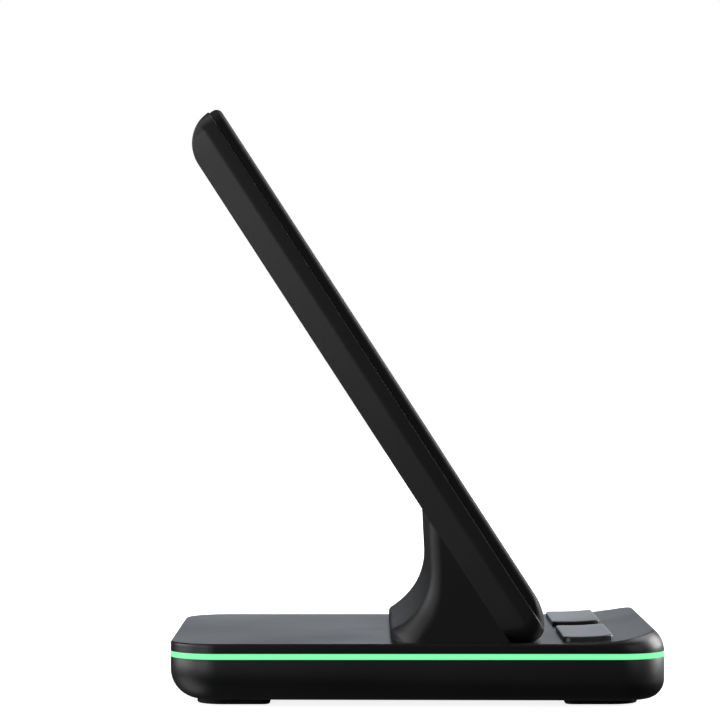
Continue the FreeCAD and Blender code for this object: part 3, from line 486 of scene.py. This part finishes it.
def column_rows(height):
    """Level sections of the column: along one side, round its rear edge, across the back and down the
    other side, each point drawn in by the edge's circle, which is larger at the foot; the sides then
    close in round the rim's corners by a circle of their own, which moves points across only."""
    height = height[:, None]
    buried = (panel_back + column_bury - height * np.sin(lean)) / np.cos(lean)
    edge_in, edge_up = quarter_round(1.0, 14).T
    edge_ends = (lid_level + foot_edge_rise, waist[1] - waist_edge_fall)
    edge = np.interp(height, edge_ends, (column_foot_edge, column_edge))
    edge_x = np.minimum(column_back(height, edge * edge_in), buried)
    back_x = np.minimum(column_back(height, 0.0), buried)
    side_x = edge_x[:, :1] + (buried - edge_x[:, :1]) * np.linspace(1, 0, 25)[:-1] ** 2
    across = np.linspace(1, -1, 62)[1:-1] * (column_half - edge)
    x = np.hstack([side_x, edge_x, back_x + 0 * across, edge_x[:, ::-1], side_x[:, ::-1]])
    half_row = np.hstack([0 * side_x + column_half, column_half - edge * edge_up])
    y = np.hstack([half_row, across, -half_row[:, ::-1]])
    short = np.clip(column_corner + column_low[0] - x, 0, column_corner)
    closing = column_corner - np.sqrt(column_corner ** 2 - short ** 2)
    beside = np.abs(y) - column_half + 2 * column_corner
    taper = np.clip(beside / (2 * column_corner - column_foot_edge), 0, 1)
    return np.stack([x, y - np.sign(y) * closing * taper, np.broadcast_to(height, x.shape)], axis=-1)


tip_gap = panel_back + column_bury - waist[0] * np.cos(lean) - waist[1] * np.sin(lean)
tip_rise = tip_gap / np.sin(lean - column_lean)
upright_heights = waist[1] + tip_rise * np.cos(column_lean) * np.linspace(0, 1, 12)[1:]
sweep_low = np.arcsin((lid_level + sweep_first - sweep_centre[1]) / column_sweep / sweep_spread)
sweep_turn = np.linspace(sweep_low, column_lean, 64)
sweep_heights = sweep_centre[1] + column_sweep * sweep_spread * np.sin(sweep_turn)
sweep_heights = sweep_heights[sweep_heights < waist[1]]
column_heights = np.concatenate([[lid_level - column_skirt], sweep_heights, upright_heights])


def off_slope(across, up, out):
    """Points from the panel's own frame, across it, up its slope and square out of it, into the stand's:
    x is out by cosine less up by sine of the lean, z is up by cosine plus out by sine."""
    across, up, out = np.broadcast_arrays(across, up, out)
    x = out * np.cos(lean) - up * np.sin(lean)
    z = up * np.cos(lean) + out * np.sin(lean)
    return np.stack([x, across, z], axis=-1)


column_plastic = moulded_plastic(
    "column_plastic", dark=(0.0034, 0.0036, 0.0040), pale=(0.0058, 0.0060, 0.0066), gloss=(0.46, 0.56),
    pebbles=2600.0, depth=0.008, dust=0.08, shine=0.40,
)
column_mesh = skin("column_flare", column_rows(column_heights))
fit_piece("column_flare", column_mesh, column_plastic, "column_plastic", "column")

# Panel rear shell: the drafted tray of the leaning panel, moulded with the same texture. Its crown is
# rounded, its foot follows the lid, and a slot with a collar goes right through it for a strap.
panel_half = np.array(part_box("panel_rear_shell"))[1][1] / mm
panel_top = 135.4
panel_corner = 4.0
panel_foot_corner = 5.0
panel_front = 35.2
panel_parting = 32.8
panel_wall = 1.8
draft_depth = 5.2
draft_inset = 1.4
crown_radius = 8.7
crown_wall = 1.5
toe_radius = 13.0
toe_reach = 28.1
toe_out = panel_front - toe_radius
toe_up = (toe_out * np.cos(lean) - (toe_reach - toe_radius)) / np.sin(lean)
toe_height = toe_up * np.cos(lean) + toe_out * np.sin(lean)
toe_tip_out = toe_reach * np.cos(lean) + toe_height * np.sin(lean)
under_radius = toe_height - lid_level
under_x = toe_reach - under_radius
under_out = under_x * np.cos(lean) + toe_height * np.sin(lean)
under_up = toe_height * np.cos(lean) - under_x * np.sin(lean)
lid_meets_out = under_x * np.cos(lean) + lid_level * np.sin(lean)
pocket_low = 4.0
back_edge = 0.2
parting_ease = 0.35
slot_low = np.array([-17.0, 78.5])
slot_high = np.array([17.0, 91.0])
slot_corner = 4.5
slot_edge = 0.7
collar_wall = 1.4
collar_out = 28.0


def panel_draft(out):
    """How far the rear shell's sides lean in: from the full draft at the back to none where it ends."""
    return draft_inset * np.clip((panel_back + draft_depth - out) / draft_depth, 0, 1)


def panel_foot(out):
    """Lowest point up the slope at an offset: on the lid's level at the back, then on a small circle that
    turns under the toe, then on the toe's large circle, which runs into the front."""
    on_lid = (lid_level - out * np.sin(lean)) / np.cos(lean)
    under = under_up - np.sqrt(np.maximum(under_radius ** 2 - (out - under_out) ** 2, 0))
    rolled = toe_up - np.sqrt(np.maximum(toe_radius ** 2 - (out - toe_out) ** 2, 0))
    return np.where(out < lid_meets_out, on_lid, np.where(out < toe_tip_out, under, rolled))


def panel_crown(out, radius):
    """Highest point up the slope at an offset, on a circle about the crown's axis."""
    rise = np.maximum(radius ** 2 - np.minimum(out - panel_back - crown_radius, 0) ** 2, 0)
    return panel_top - crown_radius + np.sqrt(rise)


def panel_loop(out, inset):
    """Outline of the panel at an offset: drafted sides and round corners, cut off level by the crown's
    circle near the back."""
    side = panel_half - panel_draft(out) - inset
    top = panel_top - panel_draft(out) - inset
    corners = np.array([panel_corner, panel_corner, panel_foot_corner, panel_foot_corner])
    loop = outline((-side, panel_foot(out)), (side, top), corners - panel_draft(out) - inset)
    return off_slope(loop[:, 0], np.minimum(loop[:, 1], panel_crown(out, crown_radius) - inset), out)


def inner_loop(out):
    """Outline of the rear shell's hollow at an offset, one wall in from the drafted sides."""
    side = panel_half - panel_draft(out) - panel_wall
    corner = panel_corner - panel_draft(out) - panel_wall
    loop = outline((-side, pocket_low), (side, panel_top - panel_draft(out) - panel_wall), corner)
    return off_slope(loop[:, 0], np.minimum(loop[:, 1], panel_crown(out, crown_radius - crown_wall)), out)


def slot_loop(out, grow):
    """Outline of the strap slot at an offset, grown by so much all round."""
    loop = outline(slot_low - grow, slot_high + grow, slot_corner + grow)
    return off_slope(loop[:, 0], loop[:, 1], out)


def between(first, last, shares):
    """Loops part of the way from one loop to another, point by point."""
    return [first * (1 - share) + last * share for share in shares]


slot_mouth = slot_loop(panel_back, slot_edge)
rear_rows = between(slot_mouth, panel_loop(panel_back, back_edge), np.linspace(0, 0.97, 12))
rear_rows += [panel_loop(panel_back + rise, inset) for inset, rise in quarter_round(back_edge, 6)]
crown_steps = panel_back + crown_radius * (1 - np.cos(np.linspace(0, np.pi / 2, 30)[5:]))
rear_rows += [panel_loop(out, 0) for out in crown_steps[crown_steps < panel_parting - parting_ease]]
rear_rows += [panel_loop(panel_parting - drop, inset) for inset, drop in quarter_round(parting_ease, 7)[::-1]]
rear_rows += [inner_loop(out) for out in (panel_parting, panel_back + draft_depth, panel_back + panel_wall)]
collar_steps = [(panel_back + panel_wall, collar_wall), (collar_out, collar_wall), (collar_out, 0)]
rear_rows += [slot_loop(out, grow) for out, grow in collar_steps]
rear_rows += [slot_loop(panel_back + rise, grow) for grow, rise in quarter_round(slot_edge, 6)[:0:-1]]
rear_plastic = moulded_plastic(
    "rear_plastic", dark=(0.0042, 0.0044, 0.0048), pale=(0.0070, 0.0072, 0.0078), gloss=(0.38, 0.48),
    pebbles=2600.0, depth=0.010, dust=0.08,
)
tray_mesh = skin("panel_tray", rear_rows, closed=True)
fit_piece("panel_tray", tray_mesh, rear_plastic, "panel_rear_plastic", "panel_rear_shell")

# Panel front cover: the smoother black plate that a handset leans on, clipped into the rear shell. Its
# edge is well rounded, and a recessed bay with the strap slot and the round puck is formed in it.
front_edge = 1.5
cover_inset = 0.3
cover_tuck = 0.05
cover_band_end = 0.3
bay_low = np.array([-22.5, 77.0])
bay_high = np.array([22.5, 130.0])
bay_corner = 9.0
bay_floor = 29.5
bay_draft = 0.8
bay_wall = 1.5
bay_edge = 0.5
bay_fillet = 0.6
bay_wall_first = 1.2
bay_wall_last = 0.4
dish_ring = 8.0
slot_tool_reach = 1.0
slot_flare = 0.8 * slot_edge


def bay_loop(out, grow):
    """Outline of the bay at an offset, grown by so much all round and narrowing with its draft."""
    grow = grow - bay_draft * np.clip((panel_front - out) / (panel_front - bay_floor), 0, 1)
    loop = outline(bay_low - grow, bay_high + grow, bay_corner + grow)
    return off_slope(loop[:, 0], loop[:, 1], out)


dish_back = bay_floor - bay_wall
dish_steps = [(dish_back, -dish_ring), (dish_back, bay_wall), (panel_parting, bay_wall)]
cover_band = (panel_parting - cover_tuck, panel_front - front_edge - cover_band_end)
front_round = quarter_round(front_edge, 18)[::-1]
cover_rows = [bay_loop(out, grow) for out, grow in dish_steps]
cover_rows += [panel_loop(out, cover_inset) for out in cover_band]
cover_rows += [panel_loop(panel_front - drop, cover_inset + inset) for inset, drop in front_round]
face_edge = panel_loop(panel_front, cover_inset + front_edge)
cover_rows += between(face_edge, bay_loop(panel_front, bay_edge), np.linspace(0, 1, 12)[1:-1])
cover_rows += [bay_loop(panel_front - drop, grow) for grow, drop in quarter_round(bay_edge, 6)]
bay_steps = np.linspace(panel_front - bay_wall_first, bay_floor + bay_fillet + bay_wall_last, 6)
cover_rows += [bay_loop(out, 0) for out in bay_steps]
cover_rows += [bay_loop(bay_floor + rise, -inset) for inset, rise in quarter_round(bay_fillet, 6)[::-1]]
cover_rows += [bay_loop(bay_floor, -inset) for inset in (dish_ring / 2, dish_ring)]
front_plastic = moulded_plastic(
    "front_plastic", dark=(0.0034, 0.0035, 0.0038), pale=(0.0056, 0.0057, 0.0061), gloss=(0.52, 0.62),
    pebbles=3400.0, depth=0.005, dust=0.08, shine=0.22,
)
face_mesh = skin("panel_face", cover_rows)
panel_face = fit_piece("panel_face", face_mesh, front_plastic, "panel_front_plastic", "panel_front_cover")
slot_tool_steps = [
    (dish_back - slot_tool_reach, 0), (bay_floor - slot_edge, 0),
    (bay_floor, slot_flare), (bay_floor + slot_edge, 2 * slot_flare),
]
slot_tool_rows = [slot_loop(out, grow) for out, grow in slot_tool_steps]
slot_tool = bpy.data.objects.new("slot_tool", skin("slot_tool", slot_tool_rows))
bpy.context.scene.collection.objects.link(slot_tool)
cut_away(panel_face, slot_tool)

# Charging puck: a turned cup in the bay that holds a coil and a magnet, closed by a dished disc that
# centres the back of a worn device. Both are moulded, the disc with a soft satin face.
puck_up = 108.9
puck_radius = 15.5
puck_rim = 1.2
puck_proud = 0.9
puck_top = bay_floor + puck_proud
puck_bury = 1.2
puck_dish = 0.45
cup_round = 0.35
cup_bevel = 0.15
disc_gap = 0.1
disc_ease = 0.2
disc_depth = 1.0
disc_eye = 0.3


def round_rows(profile):
    """Circles about the puck's axis, one for each (radius, offset) of a turned profile."""
    turn = np.linspace(0, 2 * np.pi, 97)[:-1]
    radius, out = np.asarray(profile, float).T[..., None]
    return off_slope(radius * np.cos(turn), puck_up + radius * np.sin(turn), out)


cup_edge = np.array([puck_radius, puck_top]) - quarter_round(cup_round, 6)[::-1]
cup_inside = puck_radius - puck_rim
cup_foot = bay_floor - puck_bury
cup_bore = [(cup_inside + cup_bevel, puck_top), (cup_inside, puck_top - cup_bevel), (cup_inside, cup_foot)]
cup_profile = np.vstack([[(puck_radius, cup_foot)], cup_edge, cup_bore])
puck_plastic = moulded_plastic(
    "puck_plastic", dark=(0.006, 0.006, 0.0065), pale=(0.010, 0.010, 0.0105), gloss=(0.26, 0.36),
    pebbles=3000.0, depth=0.006, dust=0.08,
)
cup_mesh = skin("puck_cup", round_rows(cup_profile), closed=True)
fit_piece("puck_cup", cup_mesh, puck_plastic, "puck_plastic", "puck_housing")
disc_radius = cup_inside - disc_gap
disc_rings = np.linspace(disc_radius - disc_ease, disc_eye, 24)
dish_heights = puck_top - puck_dish * (1 - (disc_rings / disc_radius) ** 2)
disc_wall = [(disc_radius, puck_top - disc_depth), (disc_radius, puck_top - disc_ease)]
disc_profile = np.vstack([disc_wall, np.column_stack([disc_rings, dish_heights])])
disc_satin = moulded_plastic(
    "disc_satin", dark=(0.020, 0.020, 0.021), pale=(0.028, 0.028, 0.029), gloss=(0.18, 0.28),
    pebbles=1200.0, depth=0.003, dust=0.08,
)
disc_mesh = skin("puck_disc", round_rows(disc_profile))
fit_piece("puck_disc", disc_mesh, disc_satin, "puck_face_plastic", "puck_face")

# Inlet socket: a drawn steel shell round a moulded tongue, soldered to the main board and reached
# through the tub's rear wall. It keeps its own solid and gets a brushed, slightly stained finish.


def metal(name, dark, pale, gloss, streaks):
    """Bare metal: two tones and a roughness range that follow fine streaks drawn out along one way."""
    material, tree, shader, place = new_material(name)
    stretch = tree.nodes.new("ShaderNodeMapping")
    stretch.inputs["Scale"].default_value = (1.0, 1.0, 0.06)
    tree.links.new(place.outputs["Object"], stretch.inputs["Vector"])
    streak = noise_node(tree, stretch.outputs["Vector"], streaks, 3.0)
    stain = noise_node(tree, place.outputs["Object"], 160.0, 2.0)
    share = math_node(tree, "MULTIPLY", math_node(tree, "ADD", streak, stain), 0.5)
    tree.links.new(mix_node(tree, share, (*dark, 1), (*pale, 1)), shader.inputs["Base Color"])
    shader.inputs["Metallic"].default_value = 1.0
    rough = math_node(tree, "ADD", math_node(tree, "MULTIPLY", share, gloss[1] - gloss[0]), gloss[0])
    tree.links.new(rough, shader.inputs["Roughness"])
    add_bump(tree, shader, streak, 0.004)
    return material


def dress(material, *nodes):
    """Gives nodes of the frame that keep their own solids a finished material."""
    for name in nodes:
        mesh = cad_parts[name].data
        mesh.materials.clear()
        mesh.materials.append(material)


socket_steel = metal("socket_steel", (0.42, 0.42, 0.43), (0.62, 0.62, 0.63), (0.22, 0.38), 2400.0)
dress(socket_steel, "usb_c_socket")

# Screws: steel with pan heads, cold-headed, thread-rolled and zinc-plated. Four under the feet join tub
# to lid, four hold the column to the lid, and four hold the panel to the column.
screw_steel = metal("screw_steel", (0.30, 0.30, 0.31), (0.52, 0.52, 0.53), (0.30, 0.46), 1800.0)
dress(screw_steel, "base_screws", "column_screws", "panel_screws")

# Coils and magnet: flat rings of enamelled copper wire, wound and bonded, one under the lid, one in the
# panel and one in the puck. The puck also holds a pressed magnet with a nickel plating.
coil_copper = metal("coil_copper", (0.42, 0.17, 0.07), (0.72, 0.36, 0.18), (0.24, 0.36), 3600.0)
dress(coil_copper, "base_coil", "panel_coil", "puck_coil")
magnet_nickel = metal("magnet_nickel", (0.50, 0.48, 0.44), (0.66, 0.64, 0.60), (0.16, 0.30), 900.0)
dress(magnet_nickel, "puck_magnet")

# Circuit boards and lamp strip: boards of glass-filled sheet under a green mask, one in the tub and one at
# the panel's foot, and a strip of amber film with its soldered lamps behind the light ring.
circuit_board = moulded_plastic(
    "circuit_board", dark=(0.006, 0.045, 0.022), pale=(0.012, 0.080, 0.040), gloss=(0.30, 0.45),
    pebbles=1400.0, depth=0.010, dust=0.04,
)
dress(circuit_board, "main_board", "panel_board")
strip_film = moulded_plastic(
    "strip_film", dark=(0.30, 0.11, 0.02), pale=(0.42, 0.18, 0.04), gloss=(0.25, 0.40),
    pebbles=1600.0, depth=0.004, dust=0.0,
)
dress(strip_film, "led_strip")
lamp_lens = moulded_plastic(
    "lamp_lens", dark=(0.62, 0.60, 0.44), pale=(0.78, 0.76, 0.60), gloss=(0.12, 0.25),
    pebbles=4000.0, depth=0.002, dust=0.0,
)
dress(lamp_lens, "led_lamps")

# Coil carriers, ferrite and wiring: sintered grey sheets behind the coils, moulded plates of natural nylon
# that hold them, and one bundle of jacketed wires from the tub through the column to the panel.
ferrite_sheet = moulded_plastic(
    "ferrite_sheet", dark=(0.020, 0.020, 0.022), pale=(0.045, 0.045, 0.048), gloss=(0.55, 0.75),
    pebbles=1000.0, depth=0.020, dust=0.0,
)
dress(ferrite_sheet, "base_coil_ferrite", "panel_coil_ferrite", "puck_ferrite")
holder_plastic = moulded_plastic(
    "holder_plastic", dark=(0.50, 0.48, 0.42), pale=(0.62, 0.60, 0.54), gloss=(0.42, 0.55),
    pebbles=2000.0, depth=0.010, dust=0.02,
)
dress(holder_plastic, "base_coil_holder", "panel_coil_holder")
wire_jacket = moulded_plastic(
    "wire_jacket", dark=(0.010, 0.010, 0.011), pale=(0.020, 0.020, 0.021), gloss=(0.35, 0.50),
    pebbles=1500.0, depth=0.010, dust=0.02,
)
dress(wire_jacket, "stand_harness")

# Studio: a pale floor whose painted glow is weaker near the stand and runs out to white further off, and
# soft boxes behind, above, over the nose and at each side, some of them low, with one below the floor, which
# lets light through. A long-lens camera stands level with the stand's upper half, square to its right side.
floor_rings = np.array([6.0, 3.0, 1.6, 0.8, 0.4, 0.2, 0.05])[:, None]
floor_turn = np.linspace(0, 2 * np.pi, 65)[:-1]
floor_x = floor_rings * np.cos(floor_turn)
floor_y = floor_rings * np.sin(floor_turn)
floor_points = np.stack([floor_x, floor_y, 0 * floor_x], axis=-1)
floor_grid = np.arange(floor_x.size).reshape(floor_x.shape)
outer, inner = floor_grid[:-1], floor_grid[1:]
floor_quads = np.stack([outer, np.roll(outer, -1, axis=1), np.roll(inner, -1, axis=1), inner], axis=2)
floor_faces = floor_quads.reshape(-1, 4).tolist() + [floor_grid[-1].tolist()]
floor_mesh = bpy.data.meshes.new("floor")
floor_mesh.from_pydata(floor_points.reshape(-1, 3).tolist(), [], floor_faces)
floor = bpy.data.objects.new("floor", floor_mesh)
bpy.context.scene.collection.objects.link(floor)
floor_white, floor_tree, floor_shader, floor_place = new_material("floor_white")
floor_cloud = noise_node(floor_tree, floor_place.outputs["Object"], 9.0, 3.0)
floor_tone = mix_node(floor_tree, floor_cloud, (0.80, 0.80, 0.80, 1), (0.84, 0.84, 0.84, 1))
floor_tree.links.new(floor_tone, floor_shader.inputs["Base Color"])
floor_shader.inputs["Roughness"].default_value = 0.9
floor_shader.inputs["Specular IOR Level"].default_value = 0.0
floor_shader.inputs["Emission Color"].default_value = (1, 1, 1, 1)
# Painted glow: the floor's emission grows from 0.86 near the stand to 1.0 further out, so the floor reads
# darker round the stand.
floor_away = floor_tree.nodes.new("ShaderNodeVectorMath")
floor_away.operation = "LENGTH"
floor_tree.links.new(floor_place.outputs["Object"], floor_away.inputs[0])
floor_glow = floor_tree.nodes.new("ShaderNodeMapRange")
floor_glow.interpolation_type = "SMOOTHSTEP"
floor_glow.inputs["From Min"].default_value = 0.06
floor_glow.inputs["From Max"].default_value = 0.45
floor_glow.inputs["To Min"].default_value = 0.86
floor_glow.inputs["To Max"].default_value = 1.0
floor_tree.links.new(floor_away.outputs["Value"], floor_glow.inputs["Value"])
floor_tree.links.new(floor_glow.outputs["Result"], floor_shader.inputs["Emission Strength"])
floor_mesh.materials.append(floor_white)
floor.visible_glossy = False
floor.visible_diffuse = False
floor.visible_shadow = False

world = bpy.data.worlds.new("studio")
bpy.context.scene.world = world
world.use_nodes = True
sky = world.node_tree
sky.nodes.clear()
sky_out = sky.nodes.new("ShaderNodeOutputWorld")
sky_seen = sky.nodes.new("ShaderNodeBackground")
sky_seen.inputs["Color"].default_value = (1, 1, 1, 1)
sky_seen.inputs["Strength"].default_value = 1.0
sky_light = sky.nodes.new("ShaderNodeBackground")
sky_light.inputs["Color"].default_value = (0.95, 0.97, 1.0, 1)
sky_light.inputs["Strength"].default_value = 0.035
sky_path = sky.nodes.new("ShaderNodeLightPath")
sky_mix = sky.nodes.new("ShaderNodeMixShader")
sky.links.new(sky_path.outputs["Is Camera Ray"], sky_mix.inputs["Fac"])
sky.links.new(sky_light.outputs[0], sky_mix.inputs[1])
sky.links.new(sky_seen.outputs[0], sky_mix.inputs[2])
sky.links.new(sky_mix.outputs[0], sky_out.inputs["Surface"])


stand_middle = Vector((0.0, 0.0, 0.06))
white = (1.0, 1.0, 1.0)
cool_white = (0.84, 0.91, 1.0)
warm_white = (1.0, 0.99, 0.98)


def soft_box(name, place, size, power, tint):
    """Rectangular area light at a place, turned to the stand's middle, out of the camera's sight."""
    lamp = bpy.data.lights.new(name, "AREA")
    lamp.shape = "RECTANGLE"
    lamp.size, lamp.size_y = size
    lamp.energy = power
    lamp.color = tint
    light = bpy.data.objects.new(name, lamp)
    light.location = place
    light.rotation_euler = (stand_middle - Vector(place)).to_track_quat("-Z", "Y").to_euler()
    light.visible_camera = False
    bpy.context.scene.collection.objects.link(light)


soft_box("light_left", (-1.30, 0.05, 0.35), (1.4, 0.8), 8.5, white)
soft_box("light_low_side", (-0.62, -0.20, 0.09), (0.7, 0.18), 1.0, white)
soft_box("light_low_left", (-0.29, -0.46, 0.085), (0.24, 0.20), 0.46, white)
soft_box("light_under", (-0.48, 0.0, -0.40), (0.5, 0.5), 0.85, white)
soft_box("light_back", (0.54, 1.60, 0.20), (1.7, 0.38), 3.05, cool_white)
soft_box("light_right", (1.35, 0.60, 0.56), (1.0, 0.9), 27.0, warm_white)
soft_box("light_crest", (0.70, 0.45, 1.05), (0.9, 0.9), 9.0, white)
soft_box("light_front_right", (0.55, -0.55, 0.30), (0.5, 0.4), 0.6, white)
soft_box("light_above", (-0.70, -0.10, 1.20), (1.0, 1.0), 3.5, white)

camera_data = bpy.data.cameras.new("camera")
camera_data.sensor_width = 36.0
camera_data.lens = 164.25
camera_data.shift_x = -0.0049
camera_data.shift_y = -0.0104
camera = bpy.data.objects.new("camera", camera_data)
camera.location = (-0.012, -0.764, 0.0782)
camera.rotation_euler = (np.pi / 2, 0, 0)
bpy.context.scene.collection.objects.link(camera)
bpy.context.scene.camera = camera
bpy.context.scene.view_settings.view_transform = "Standard"
